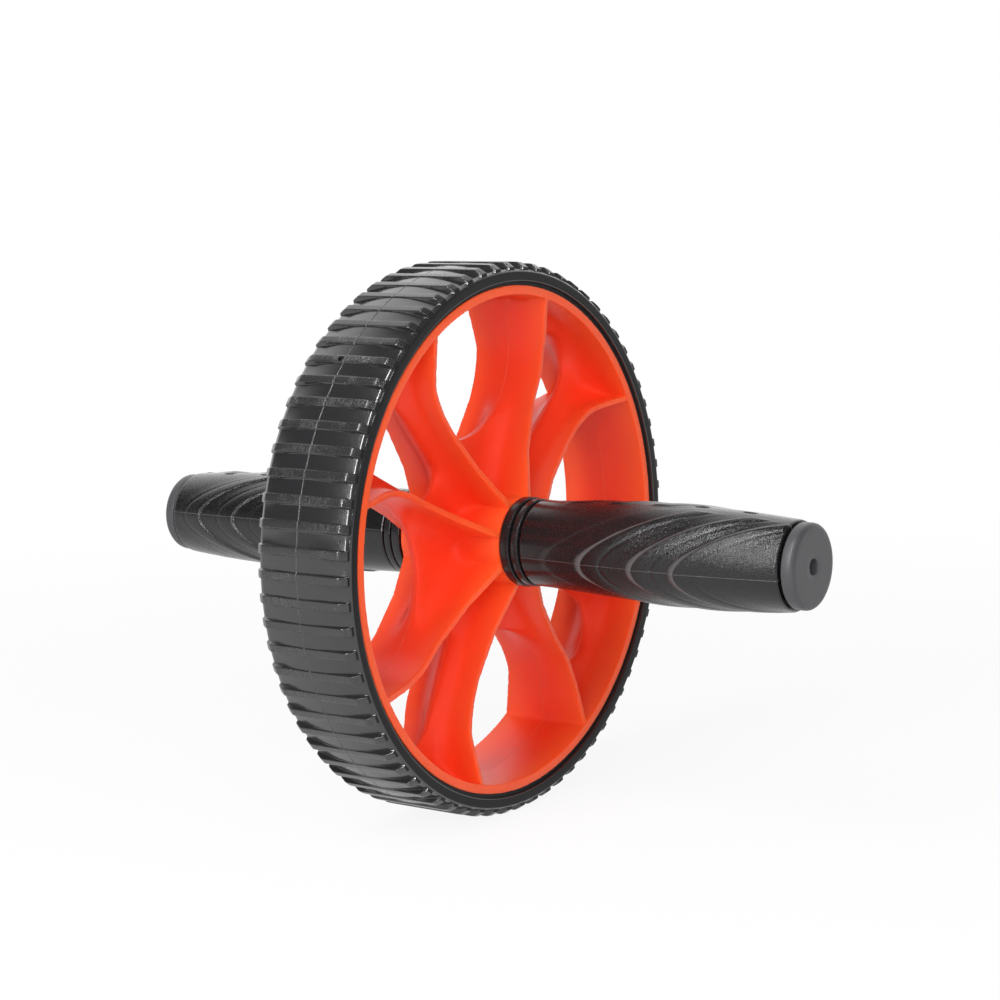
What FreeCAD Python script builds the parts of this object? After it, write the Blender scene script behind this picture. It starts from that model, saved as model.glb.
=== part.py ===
"""Ab wheel roller: a ribbed tyre on an open four-petal wheel that spins on an axle with two grips.

Units are millimetres and degrees. The origin is the middle of the wheel, the axle lies along Y,
Z is up, and the right handle points along -Y.
"""
import FreeCAD, Part
import math
import os

V = FreeCAD.Vector
ORIGIN = V(0, 0, 0)
AXLE_LINE = V(0, 1, 0)
UPRIGHT = V(0, 0, 1)
MATCH = 0.001

# Tyre
tyre_radius = 90.0
tyre_thickness = 7.5
tyre_width = 35.2
tread_rib_count = 72
tread_rib_width = 2.8
tread_rib_bevel_width = 2.8
tread_rib_bevel_drop = 2.0
tread_valley_mid_depth = 0.35
tread_valley_edge_depth = 2.6
tyre_shoulder_width = 1.7
tyre_shoulder_drop = 1.6
tread_crown_steps = 4

# Wheel centre: rim, hub, web and the walls of the four petals
rim_width = 33.4
rim_wall = 3.0
hub_radius = 14.2
hub_length = 39.4
web_thickness = 3.0
web_root = 4.0
web_root_clearance = 0.3
petal_count = 4
petal_angle = 7.4
petal_half_angle = 29.57
petal_centre_from_rim = 17.5
petal_wall = 2.0
wall_dish_from_rim = 31.5
wall_dish_width = 25.2
wall_dish_steps = 4
wall_rim_inset = 0.5
petal_hole_from_hub = 19.2
drop_hole_from_rim = 14.5
drop_hole_ledge = 2.3
drop_hole_tip_from_hub = 22.8
drop_hole_tip_ledge = 2.8

# Axle, hub bushes and thrust washers
axle_end_gap = 2.8
bush_running_clearance = 0.05
bush_wall = 2.95
bush_length = 14.0
thrust_gap = 0.22
washer_inset = 1.2
washer_thickness = 1.0
washer_bore_clearance = 0.1

# Handles
overall_length = 250.0
handle_core_radius = 11.0
handle_core_wall = 5.0
hub_to_collar_gap = 0.35
collar_wall = 3.5
collar_width = 3.3
groove_width = 0.7
grip_ring_wall = 3.2
grip_ring_width = 2.6
grip_inner_wall = 3.0
grip_waist_wall = 3.1
grip_waist_from_end = 79.0
grip_swell_wall = 5.2
grip_swell_from_end = 45.0
grip_taper_wall = 4.2
grip_taper_from_end = 20.0
grip_outer_wall = 2.7
grip_profile_steps = 6
right_grip_roll = -14.0
left_grip_roll = 6.0

# Chevron grooves on the grips, three on each side
chevron_count = 3
chevron_depth = 0.7
chevron_width = 2.4
chevron_spacing = 17.0
chevron_bend_radius = 6.0
chevron_arm_angle = 27.0
chevron_arm_height = 13.4
inward_chevron_from_end = 40.5
outward_chevron_from_end = 17.5

# End caps
cap_overhang = 2.3
cap_thickness = 4.2
cap_edge_radius = 1.6
cap_edge_steps = 2
cap_hole_radius = 2.5
cap_spigot_length = 8.0
cap_gap = 0.8

# Radii of the wheel
rim_radius = tyre_radius - tyre_thickness
rim_inner_radius = rim_radius - rim_wall
petal_centre_radius = rim_inner_radius - petal_centre_from_rim
petal_half_width = petal_centre_radius * math.sin(math.radians(petal_half_angle))
petal_hole_bottom_radius = hub_radius + petal_hole_from_hub
wall_dish_radius = rim_inner_radius - wall_dish_from_rim
drop_hole_centre_radius = rim_inner_radius - drop_hole_from_rim
drop_hole_tip_centre_radius = hub_radius + drop_hole_tip_from_hub

# Radii of the axle and the handles, all set from the handles' cores
axle_radius = handle_core_radius - handle_core_wall
washer_radius = handle_core_radius - washer_inset
collar_radius = handle_core_radius + collar_wall
grip_ring_radius = handle_core_radius + grip_ring_wall
grip_inner_radius = handle_core_radius + grip_inner_wall
grip_waist_radius = handle_core_radius + grip_waist_wall
grip_swell_radius = handle_core_radius + grip_swell_wall
grip_taper_radius = handle_core_radius + grip_taper_wall
grip_outer_radius = handle_core_radius + grip_outer_wall
cap_radius = handle_core_radius + cap_overhang

# Places along the axle, as distances from the middle of the wheel
tyre_half = tyre_width / 2
rim_half = rim_width / 2
hub_half = hub_length / 2
web_half = web_thickness / 2
bush_bore_radius = axle_radius + bush_running_clearance
bush_radius = bush_bore_radius + bush_wall
washer_start = hub_half + thrust_gap
core_start = washer_start + washer_thickness
collar_start = hub_half + hub_to_collar_gap
collar_end = collar_start + collar_width
grip_ring_start = collar_end + groove_width
grip_ring_end = grip_ring_start + grip_ring_width
grip_start = grip_ring_end + groove_width
handle_end = overall_length / 2
cap_start = handle_end - cap_thickness
grip_end = cap_start - cap_gap
spigot_end = cap_start - cap_spigot_length
axle_length = 2 * (spigot_end - axle_end_gap)


def lathe_point(radius, along):
    """Point of a turned profile: radius from the axle line, distance along it to the right."""
    return V(radius, -along, 0)


def face_from(start, *steps):
    """Closed flat face: a vector draws a line, a pair of vectors an arc through the first one."""
    edges = []
    here = start
    for step in steps:
        if isinstance(step, tuple):
            edges.append(Part.Arc(here, *step).toShape())
            here = step[1]
        else:
            edges.append(Part.LineSegment(here, step).toShape())
            here = step
    if not here.isEqual(start, MATCH):
        edges.append(Part.LineSegment(here, start).toShape())
    return Part.Face(Part.Wire(edges))


def stepped(curve, steps):
    """Points along a curve, which a profile joins by short straight steps."""
    return curve.toShape().discretize(steps + 1)


def turned(face):
    """Turn a profile once round the axle line."""
    return face.revolve(ORIGIN, AXLE_LINE, 360)


def turned_band(inner_radius, outer_radius, start, end):
    """Plain ring between two radii and two places along the axle."""
    return turned(face_from(
        lathe_point(inner_radius, start),
        lathe_point(outer_radius, start),
        lathe_point(outer_radius, end),
        lathe_point(inner_radius, end)))


def through_wheel(face, half_depth):
    """Extrude a face of the wheel's mid-plane to both sides."""
    lower = face.copy()
    lower.translate(V(0, -half_depth, 0))
    return lower.extrude(V(0, 2 * half_depth, 0))


def at_angle(shape, angle):
    """Turn a shape that was drawn pointing up to an angle from +X towards +Z."""
    placed = shape.copy()
    placed.rotate(ORIGIN, AXLE_LINE, 90 - angle)
    return placed


def petal_angles():
    """Angles of the petals' centre lines."""
    pitch = 360 / petal_count
    return [petal_angle + number * pitch for number in range(petal_count)]


def spoke_angles():
    """Angles of the spokes, half way between the petals."""
    pitch = 360 / petal_count
    return [angle + pitch / 2 for angle in petal_angles()]


# Tyre

def tread_block(top_line, width, foot):
    """Block of the tread that points up, from a foot to its top line across the tyre."""
    face = face_from(V(0, -tyre_half, foot), *top_line, V(0, tyre_half, foot))
    face.translate(V(-width / 2, 0, 0))
    return face.extrude(V(width, 0, 0))


def make_tyre():
    """Ring that sits on the rim, with straight ribs and crowned valleys in turn round it."""
    valley_mid = tyre_radius - tread_valley_mid_depth
    valley_edge = tyre_radius - tread_valley_edge_depth
    side_radius = valley_edge - tyre_shoulder_drop
    shoulder = tyre_half - tyre_shoulder_width
    ring_radius = (rim_radius + side_radius) / 2
    foot = (rim_radius + ring_radius) / 2
    crown = Part.Arc(V(0, -shoulder, valley_edge), V(0, 0, valley_mid), V(0, shoulder, valley_edge))
    half_pitch = 180 / tread_rib_count
    reach_into_ribs = tyre_radius * math.tan(math.radians(half_pitch)) - tread_rib_width / 4
    valley = tread_block([
        V(0, -tyre_half, side_radius),
        *stepped(crown, tread_crown_steps),
        V(0, tyre_half, side_radius)], 2 * reach_into_ribs, foot)
    bevel_start = tyre_half - tread_rib_bevel_width
    bevel_end = tyre_radius - tread_rib_bevel_drop
    rib = tread_block([
        V(0, -tyre_half, bevel_end),
        V(0, -bevel_start, tyre_radius),
        V(0, bevel_start, tyre_radius),
        V(0, tyre_half, bevel_end)], tread_rib_width, foot)
    blocks = []
    for number in range(tread_rib_count):
        rib_angle = 2 * number * half_pitch - 90
        blocks.append(at_angle(rib, rib_angle))
        blocks.append(at_angle(valley, rib_angle + half_pitch))
    ring = turned_band(rim_radius, ring_radius, -tyre_half, tyre_half)
    return ring.multiFuse(blocks).removeSplitter()


# Wheel centre

def wall_line(offset):
    """Right-hand wall of a petal that points up, moved outwards by an offset, from rim to hub.

    The points are the rim end, the end of the straight leg, the middle and the end of the bend and
    the hub end.
    """
    half_step = math.pi / petal_count / 2
    landing = V(hub_radius * math.sin(half_step), 0, hub_radius * math.cos(half_step))
    centre = V(0, 0, petal_centre_radius)
    reach = centre - landing
    lean = math.asin(petal_half_width / reach.Length) + math.atan2(reach.x, reach.z)
    radius = petal_half_width + offset

    def on_bend(turn):
        return centre + V(radius * math.cos(turn), 0, -radius * math.sin(turn))

    rim_point = V(radius, 0, math.sqrt(rim_inner_radius ** 2 - radius ** 2))
    bend_end = on_bend(lean)
    outwards = V(math.sin(lean), 0, math.cos(lean))
    along = bend_end.dot(outwards)
    run = along - math.sqrt(along ** 2 - bend_end.Length ** 2 + hub_radius ** 2)
    return [rim_point, on_bend(0), on_bend(lean / 2), bend_end, bend_end - outwards * run]


def mirrored(points):
    """Points on the other side of the upright line."""
    return [V(-point.x, 0, point.z) for point in points]


def petal_side():
    """Wall that bounds the pocket inside a petal."""
    return wall_line(-petal_wall / 2)


def spoke_side():
    """Wall that bounds the pocket between two petals, seen with the spoke pointing up."""
    turn = FreeCAD.Rotation(AXLE_LINE, 180 / petal_count)
    return [turn.multVec(point) for point in mirrored(wall_line(petal_wall / 2))]


def pocket_face(right_wall):
    """Outline of a pocket between a wall and its mirror image, the hub and the rim."""
    left_wall = mirrored(right_wall)
    return face_from(
        right_wall[0], right_wall[1], (right_wall[2], right_wall[3]), right_wall[4],
        (V(0, 0, hub_radius), left_wall[4]),
        left_wall[3], (left_wall[2], left_wall[1]), left_wall[0],
        (V(0, 0, rim_inner_radius), right_wall[0]))


def pocket(right_wall, floor, root):
    """Pocket from a floor out past the right face of the wheel, its floor sloped up to the walls."""
    outline = pocket_face(right_wall)
    outline.translate(V(0, -floor, 0))
    shape = outline.extrude(V(0, -hub_half - rim_half, 0))
    if not root:
        return shape
    root_edges = [edge for edge in shape.Edges
                  if edge.BoundBox.YMin > -floor - MATCH and edge.BoundBox.ZMax > hub_radius + MATCH]
    narrow_end = right_wall[4].x - web_root_clearance
    return shape.makeChamfer(min(root, narrow_end), root_edges)


def on_both_faces(shape):
    """A shape on the right face of the wheel and the same one on the left face."""
    return [shape, to_left(shape)]


def all_pockets(floor, root):
    """Every pocket of the wheel, on both faces."""
    petals = on_both_faces(pocket(petal_side(), floor, root))
    spokes = on_both_faces(pocket(spoke_side(), floor, root))
    placed = [at_angle(shape, angle) for shape in petals for angle in petal_angles()]
    return placed + [at_angle(shape, angle) for shape in spokes for angle in spoke_angles()]


def petal_hole_face():
    """Hole in the web inside a petal: a round bottom, and sides within the petal's wall."""
    radius = petal_half_width
    centre = V(0, 0, petal_hole_bottom_radius + radius)
    top = V(0, 0, rim_radius)
    return face_from(
        top + V(radius, 0, 0),
        centre + V(radius, 0, 0),
        (centre - V(0, 0, radius), centre - V(radius, 0, 0)),
        top - V(radius, 0, 0))


def drop_hole_face():
    """Drop-shaped hole in a spoke's web, which leaves a ledge along the rim and the walls."""
    outline = pocket_face(spoke_side()).OuterWire

    def room_at(point):
        return outline.distToShape(Part.Vertex(point))[0]

    centre = V(0, 0, drop_hole_centre_radius)
    tip = V(0, 0, drop_hole_tip_centre_radius)
    drop_hole_radius = room_at(centre) - drop_hole_ledge
    drop_hole_tip_radius = room_at(tip) - drop_hole_tip_ledge
    lean = math.asin((drop_hole_radius - drop_hole_tip_radius) / (centre - tip).Length)

    def beside(middle, radius, side):
        return middle + V(side * radius * math.cos(lean), 0, -radius * math.sin(lean))

    return face_from(
        beside(centre, drop_hole_radius, 1),
        (centre + V(0, 0, drop_hole_radius), beside(centre, drop_hole_radius, -1)),
        beside(tip, drop_hole_tip_radius, -1),
        (tip - V(0, 0, drop_hole_tip_radius), beside(tip, drop_hole_tip_radius, 1)))


def make_walls():
    """Rim, hub and petal walls, whose front edges are dished between rim and hub."""
    dish = Part.Arc(
        lathe_point(hub_radius, hub_half),
        lathe_point(wall_dish_radius, wall_dish_width / 2),
        lathe_point(rim_inner_radius, rim_half - wall_rim_inset))
    right_edge = stepped(dish, wall_dish_steps)
    left_edge = [V(point.x, -point.y, 0) for point in reversed(right_edge)]
    blank = turned(face_from(
        lathe_point(0, hub_half),
        *right_edge,
        lathe_point(rim_inner_radius, rim_half),
        lathe_point(rim_radius, rim_half),
        lathe_point(rim_radius, -rim_half),
        lathe_point(rim_inner_radius, -rim_half),
        *left_edge,
        lathe_point(0, -hub_half)))
    return blank.cut(all_pockets(0, 0))


def make_web():
    """Web at mid width with sloped roots on the walls, open inside the petals and along the spokes."""
    half = web_half + web_root
    slab = turned_band(hub_radius / 2, rim_inner_radius + rim_wall / 2, -half, half)
    petal_hole = through_wheel(petal_hole_face(), hub_half)
    drop_hole = through_wheel(drop_hole_face(), hub_half)
    holes = [at_angle(petal_hole, angle) for angle in petal_angles()]
    holes += [at_angle(drop_hole, angle) for angle in spoke_angles()]
    return slab.cut(all_pockets(web_half, web_root) + holes)


def make_wheel_centre():
    """One moulding: rim, hub, petal walls and web, bored for the bushes."""
    solid = make_walls().fuse(make_web())
    return solid.cut(turned_band(0, bush_radius, -hub_half, hub_half)).removeSplitter()


# Axle line

def make_axle():
    """Steel rod through the wheel and into both handles."""
    return turned_band(0, axle_radius, -axle_length / 2, axle_length / 2)


def make_bush():
    """Plain bush pressed into the hub, level with its end."""
    return turned_band(bush_bore_radius, bush_radius, hub_half - bush_length, hub_half)


def make_washer():
    """Thrust washer against the end of the handle's core."""
    return turned_band(axle_radius + washer_bore_clearance, washer_radius, washer_start, core_start)


# Handles

def make_core():
    """Rigid tube pressed on the axle, which carries the collar, the ring, the grip and the cap."""
    return turned_band(axle_radius, handle_core_radius, core_start, cap_start)


def make_ring(outer_radius, start, end):
    """Ring on the core."""
    return turned_band(handle_core_radius, outer_radius, start, end)


def grip_body(inner_radius, sink):
    """Turned body of the grip, its outside sunk by a depth."""
    stations = [
        (grip_inner_radius, grip_start),
        (grip_waist_radius, handle_end - grip_waist_from_end),
        (grip_swell_radius, handle_end - grip_swell_from_end),
        (grip_taper_radius, handle_end - grip_taper_from_end),
        (grip_outer_radius, grip_end)]
    profile = Part.BSplineCurve()
    profile.interpolate([lathe_point(radius - sink, along) for radius, along in stations])
    return turned(face_from(
        lathe_point(inner_radius, grip_start),
        *stepped(profile, grip_profile_steps),
        lathe_point(inner_radius, grip_end)))


def chevron_prism(apex, outwards, side):
    """Rounded V groove seen from the side: apex along the handle, the way it points, and which side."""
    lean = math.radians(chevron_arm_angle)
    sense = -1 if outwards else 1

    def edge_points(shift):
        middle = chevron_bend_radius + shift
        round_along = middle - chevron_bend_radius * math.sin(lean)
        round_height = chevron_bend_radius * math.cos(lean)
        end_along = round_along + (chevron_arm_height - round_height) / math.tan(lean)
        places = [(end_along, chevron_arm_height), (round_along, round_height), (shift, 0)]
        places += [(along, -height) for along, height in reversed(places[:2])]
        return [V(0, -(apex + sense * along), height) for along, height in places]

    outer = edge_points(0)
    inner = edge_points(chevron_width)
    face = face_from(
        outer[0], outer[1], (outer[2], outer[3]), outer[4],
        inner[4], inner[3], (inner[2], inner[1]), inner[0])
    return face.extrude(V(side * 2 * grip_swell_radius, 0, 0))


def make_grip():
    """Swelling grip with nested chevrons: towards the wheel on one side, away from it on the other."""
    skin = grip_body(handle_core_radius, 0).cut(grip_body(handle_core_radius, chevron_depth))
    grooves = []
    for number in range(chevron_count):
        inward = handle_end - inward_chevron_from_end - number * chevron_spacing
        outward = handle_end - outward_chevron_from_end - number * chevron_spacing
        grooves.append(chevron_prism(inward, False, -1).common(skin))
        grooves.append(chevron_prism(outward, True, 1).common(skin))
    return grip_body(handle_core_radius, 0).cut(grooves)


def make_cap():
    """End cap with a rounded edge, a spigot in the core's bore and a hole along its middle."""
    middle_turn = cap_edge_radius * (1 - math.sqrt(0.5))
    edge = Part.Arc(
        lathe_point(cap_radius, handle_end - cap_edge_radius),
        lathe_point(cap_radius - middle_turn, handle_end - middle_turn),
        lathe_point(cap_radius - cap_edge_radius, handle_end))
    return turned(face_from(
        lathe_point(cap_hole_radius, spigot_end),
        lathe_point(axle_radius, spigot_end),
        lathe_point(axle_radius, cap_start),
        lathe_point(cap_radius, cap_start),
        *stepped(edge, cap_edge_steps),
        lathe_point(cap_hole_radius, handle_end)))


def rolled(shape, roll):
    """Turn a piece about the axle line."""
    placed = shape.copy()
    placed.rotate(ORIGIN, AXLE_LINE, roll)
    return placed


def to_left(shape):
    """Turn a right-hand piece half round to the left of the wheel."""
    placed = shape.copy()
    placed.rotate(ORIGIN, UPRIGHT, 180)
    return placed


def make_parts():
    """All pieces by name."""
    grip = make_grip()
    right_pieces = {
        "hub_bush": make_bush(),
        "thrust_washer": make_washer(),
        "handle_core": make_core(),
        "handle_collar": make_ring(collar_radius, collar_start, collar_end),
        "grip_ring": make_ring(grip_ring_radius, grip_ring_start, grip_ring_end),
        "end_cap": make_cap()}
    parts = {
        "tyre": make_tyre(),
        "wheel_centre": make_wheel_centre(),
        "axle": make_axle(),
        "grip_right": rolled(grip, right_grip_roll),
        "grip_left": rolled(to_left(grip), left_grip_roll)}
    for name, shape in right_pieces.items():
        parts[name + "_right"] = shape
        parts[name + "_left"] = to_left(shape)
    return parts


os.makedirs("parts", exist_ok=True)
for part_name, part_shape in make_parts().items():
    solids = part_shape.Solids
    Part.makeCompound(solids).exportStep("parts/" + part_name + ".step")
    volume = sum(solid.Volume for solid in solids)
    print(part_name, "solids", len(solids), "valid", part_shape.isValid(), "volume", round(volume, 1))
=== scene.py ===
"""Ab wheel roller: a ribbed tyre on an open orange wheel, with a scaled grip on each side.

Lengths are in metres, and small ones are written as millimetres times MM. The frame has the axle along
Y, Z up, and the right handle along -Y.
"""
import bmesh
import bpy
import math
from mathutils import Euler, Matrix, Vector


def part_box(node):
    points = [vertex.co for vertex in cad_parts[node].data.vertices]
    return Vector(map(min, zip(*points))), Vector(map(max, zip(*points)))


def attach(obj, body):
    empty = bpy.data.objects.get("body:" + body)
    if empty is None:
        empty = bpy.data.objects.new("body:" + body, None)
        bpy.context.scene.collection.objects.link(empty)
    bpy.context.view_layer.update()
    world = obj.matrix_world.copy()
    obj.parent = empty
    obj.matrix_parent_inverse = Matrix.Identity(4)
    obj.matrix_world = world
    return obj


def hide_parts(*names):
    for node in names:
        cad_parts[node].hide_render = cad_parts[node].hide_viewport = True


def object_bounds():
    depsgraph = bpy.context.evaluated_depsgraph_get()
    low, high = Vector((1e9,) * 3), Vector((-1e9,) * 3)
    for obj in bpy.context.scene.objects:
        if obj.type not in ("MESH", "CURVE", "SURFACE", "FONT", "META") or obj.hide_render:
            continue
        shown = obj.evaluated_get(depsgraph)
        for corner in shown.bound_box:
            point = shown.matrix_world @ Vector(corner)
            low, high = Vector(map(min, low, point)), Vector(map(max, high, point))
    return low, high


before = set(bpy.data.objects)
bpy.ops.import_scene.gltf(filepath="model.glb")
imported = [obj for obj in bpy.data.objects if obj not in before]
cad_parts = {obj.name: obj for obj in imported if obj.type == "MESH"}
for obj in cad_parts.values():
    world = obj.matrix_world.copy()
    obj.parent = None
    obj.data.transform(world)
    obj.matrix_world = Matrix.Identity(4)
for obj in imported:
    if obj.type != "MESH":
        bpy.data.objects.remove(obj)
cad_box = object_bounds()

bl_info = {
    "name": "Ab wheel roller",
    "version": (1, 0, 0),
    "blender": (4, 5, 0),
    "location": "View3D > Sidebar > Roller",
    "description": "Builds the tyre, wheel, grips and caps of an ab wheel roller round its CAD frame",
    "category": "Add Mesh",
}

MM = 0.001
SIDES = (("right", -1.0), ("left", 1.0))
WELD = 0.01 * MM
TINY = 1e-7
SMOOTH_ANGLE = math.radians(38)
# A face of the tyre belongs to its side wall where its normal's part along the axle is above this.
SIDE_FACE = 0.94
SENSOR_WIDTH = 36.0
FLOOR_SIZE = 6.0
FLOOR_GAP = 0.2 * MM
LEFT_LIGHT = (-0.94, 0.1, 0.74)
FRONT_LIGHT = (-0.8, -0.8, 0.55)
BACKDROP_WAY = (0.82, 0.57, 0.0)
WHITE = (1.0, 1.0, 1.0, 1.0)
TYRE_WORN = (0.22, 0.22, 0.23, 1.0)
# Lighter tone of the tyre's parting line: a painted highlight for the light its raised bead catches.
TYRE_LINE_HIGHLIGHT = (0.07, 0.07, 0.072, 1.0)
TYRE_SIDE_WORN = (0.03, 0.03, 0.032, 1.0)
# Lighter tone of the wheel's parting line: a painted highlight on the crease at mid width.
WHEEL_LINE_HIGHLIGHT = (0.88, 0.15, 0.05, 1.0)
WHEEL_SCRATCH = (0.9, 0.2, 0.09, 1.0)
GRIP_SPECK = (0.09, 0.09, 0.095, 1.0)
# Lighter tone of the grips' parting line: a painted highlight for the light the line catches.
GRIP_LINE_HIGHLIGHT = (0.12, 0.11, 0.11, 1.0)
HANDLE_WORN = (0.04, 0.04, 0.042, 1.0)
CAP_WORN = (0.1, 0.1, 0.105, 1.0)
CORE_WORN = (0.06, 0.06, 0.065, 1.0)


def length(name, description, millimetres):
    """Setting for a length, given in millimetres."""
    return bpy.props.FloatProperty(
        name=name, description=description, default=millimetres * MM, unit="LENGTH", precision=5)


def number(name, description, default):
    """Setting for a plain number."""
    return bpy.props.FloatProperty(name=name, description=description, default=default, precision=3)


def power(name, description, default):
    """Setting for a lamp's power in watts."""
    return bpy.props.FloatProperty(name=name, description=description, default=default, unit="POWER")


def angle(name, description, degrees):
    """Setting for an angle, given in degrees."""
    return bpy.props.FloatProperty(
        name=name, description=description, default=math.radians(degrees), subtype="ANGLE")


def colour(name, description, default):
    """Setting for a linear colour."""
    return bpy.props.FloatVectorProperty(
        name=name, description=description, default=default, size=3, min=0, max=1, subtype="COLOR")


class RollerTyreSettings(bpy.types.PropertyGroup):
    """Tread and section of the tyre."""
    ribs: bpy.props.IntProperty(name="Ribs", description="Ribs round the tread", default=72)
    rib_width: length("Rib width", "Width of a rib's top round the tread", 2.8)
    rib_edge: length("Rib edge", "Rounding along a rib's edges", 0.24)
    bevel_width: length("Bevel width", "Length of the slope at each end of a rib", 2.8)
    bevel_drop: length("Bevel drop", "Height of the slope at each end of a rib", 1.9)
    crease: length("Crease", "Rounding where a rib's top turns into its slope", 0.45)
    ledge: length("Ledge", "Distance of a rib's end from the side wall", 0.4)
    groove_width: length("Groove width", "Width of the groove between the side wall and the rim", 1.3)
    groove_depth: length("Groove depth", "Depth of that groove", 1.4)
    valley_middle: length("Valley middle", "Depth of a valley at mid width", 0.35)
    valley_edge: length("Valley edge", "Depth of a valley at the shoulder", 2.1)
    shoulder_width: length("Shoulder width", "Width of the shoulder slope", 1.7)
    shoulder_drop: length("Shoulder drop", "Height of the shoulder slope", 0.85)
    thickness: length("Thickness", "From the rib tops to the bore", 7.5)
    side_edge: length("Side edge", "Rounding at the edges of the side walls", 0.3)
    worn_half: length("Worn half", "Half of the width of the rib tops that is worn", 20.2)
    line_place: length("Line place", "Distance of the parting line from mid width", 1.2)
    pit_radius: length("Pit radius", "Radius of the gate pit in one rib", 0.95)
    pit_depth: length("Pit depth", "Depth of the gate pit", 0.8)
    pit_place: length("Pit place", "Distance of the gate pit from mid width", 2.6)
    pit_turn: angle("Pit turn", "Angle of the gate pit from the top of the tread", -45.0)
    black: colour("Black", "Colour of the tyre", (0.016, 0.016, 0.017))


class RollerWheelSettings(bpy.types.PropertyGroup):
    """Roundings and colour of the wheel centre."""
    skin_depth: bpy.props.IntProperty(
        name="Skin depth", description="Fineness of the skin before it is thinned", default=8)
    edge_passes: bpy.props.IntProperty(
        name="Edge passes", description="Smoothing of all edges", default=4)
    root_passes: bpy.props.IntProperty(
        name="Root passes", description="Smoothing of the wall roots", default=100)
    root_reach: length("Root reach", "How far from mid width the roots are smoothed", 6.5)
    web_half: length("Web half", "Half of the web's thickness", 1.5)
    kept_faces: number("Kept faces", "Share of the skin's faces that thinning keeps", 0.36)
    # Painted shade: the plastic is one orange; the second, darker orange stands for the shade deep between
    # the rims and is used towards mid width.
    orange: colour("Orange", "Colour of the wheel plastic at its outer edges", (0.93, 0.097, 0.021))
    shaded_orange: colour("Shaded orange", "Orange darkened by painted shade at mid width", (0.88, 0.047, 0.013))


class RollerGripSettings(bpy.types.PropertyGroup):
    """Shape and finish of the two grips."""
    around: bpy.props.IntProperty(name="Around", description="Faces round the grip", default=256)
    along: bpy.props.IntProperty(name="Along", description="Faces along the grip", default=280)
    end_radius: length("End radius", "Radius at the two ends of a grip", 14.05)
    swell: length("Swell", "How much thicker a grip is at its thickest", 1.75)
    swell_lean: number("Swell lean", "Above 1, the thickest place lies nearer to the cap", 1.31)
    scale_height: length("Scale height", "Step at the edge of a scale", 0.5)
    base_drop: length("Base drop", "How far the ground between the scales lies under the profile", 0.12)
    tip_slope: length("Tip slope", "Width of the step at a scale's tip", 2.7)
    arm_slope: length("Arm slope", "Width of the step along a scale's arms", 0.6)
    arm_run: length("Arm run", "Run of a scale's arms along the grip for each radian round it", 35.5)
    nose: length("Nose", "How blunt a scale's tip is", 20.0)
    scale_length: length("Scale length", "Distance in which a scale sinks back to the ground", 13.0)
    arm_reach: angle("Arm reach", "Angle from a scale's tip to the end of its arms", 88.0)
    crease_offset: length("Crease offset", "Distance of the fine crease outwards from a scale's edge", 7.0)
    crease_depth: length("Crease depth", "Depth of the fine crease", 0.14)
    crease_width: length("Crease width", "Half width of the fine crease", 0.4)
    notch_depth: length("Notch depth", "Depth of the thumb notches at the ends of the arms", 0.45)
    notch_turn: angle("Notch turn", "Angle from a scale's tip to the thumb notches", 102.0)
    seam_lead: angle("Seam lead", "Angle from the scales' tips to the parting line", -2.5)
    right_turn: angle("Right turn", "Angle of the scales' tips on the right grip", 194.0)
    left_turn: angle("Left turn", "Angle of the scales' tips on the left grip", 174.0)
    black: colour("Black", "Colour of the grips", (0.007, 0.007, 0.0076))
    edge_grey: colour("Edge grey", "Colour of the scales' edges", (0.085, 0.085, 0.089))


class RollerHandleSettings(bpy.types.PropertyGroup):
    """Collars, rings, caps and hidden pieces of the handles."""
    core_radius: length("Core radius", "Radius of the core that carries the rings and grips", 11.0)
    ring_edge: length("Ring edge", "Rounding of the collars and rings", 0.4)
    cap_thickness: length("Cap thickness", "Thickness of a cap outside the core", 4.2)
    cap_edge: length("Cap edge", "Rounding of a cap's outer edge", 1.5)
    cap_lip: length("Cap lip", "Rounding of a cap's inner edge and of its hole", 0.4)
    cap_hole: length("Cap hole", "Radius of the hole in a cap", 2.5)
    spigot_radius: length("Spigot radius", "Radius of the cap's spigot in the core", 6.0)
    black: colour("Black", "Colour of collars and rings", (0.012, 0.012, 0.013))
    cap_grey: colour("Cap grey", "Colour of the end caps", (0.055, 0.055, 0.059))
    steel: colour("Steel", "Colour of the axle", (0.56, 0.57, 0.58))
    nylon: colour("Nylon", "Colour of bushes and washers", (0.72, 0.70, 0.64))


class RollerStageSettings(bpy.types.PropertyGroup):
    """Camera, light and floor."""
    camera_place: bpy.props.FloatVectorProperty(
        name="Camera place", description="Where the camera stands",
        default=(-0.649073, -0.468846, 0.126004), size=3, subtype="TRANSLATION", unit="LENGTH")
    camera_turn: bpy.props.FloatVectorProperty(
        name="Camera turn", description="How the camera is turned",
        default=(math.radians(81.8916), math.radians(1.1855), math.radians(-54.9474)),
        size=3, subtype="EULER")
    lens: bpy.props.FloatProperty(
        name="Lens", description="Focal length on a 36 mm sensor", default=88.944, unit="CAMERA")
    strip_power: power("Strip power", "Power of the tall strip light that gloss shows on the left", 20.0)
    left_power: power("Left power", "Power of the soft box on the left", 13.0)
    front_power: power("Front power", "Power of the large soft box in front", 12.0)
    sky: number("Sky", "Strength of the white surroundings on the object", 0.32)
    ceiling: number("Ceiling", "Strength of the dim room that gloss shows beside the backdrop", 0.08)
    skirting: number("Skirting", "Sine of the elevation where the white ends beside the backdrop", 0.08)
    backdrop: number("Backdrop", "Strength of the bright backdrop that gloss shows", 1.6)


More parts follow.
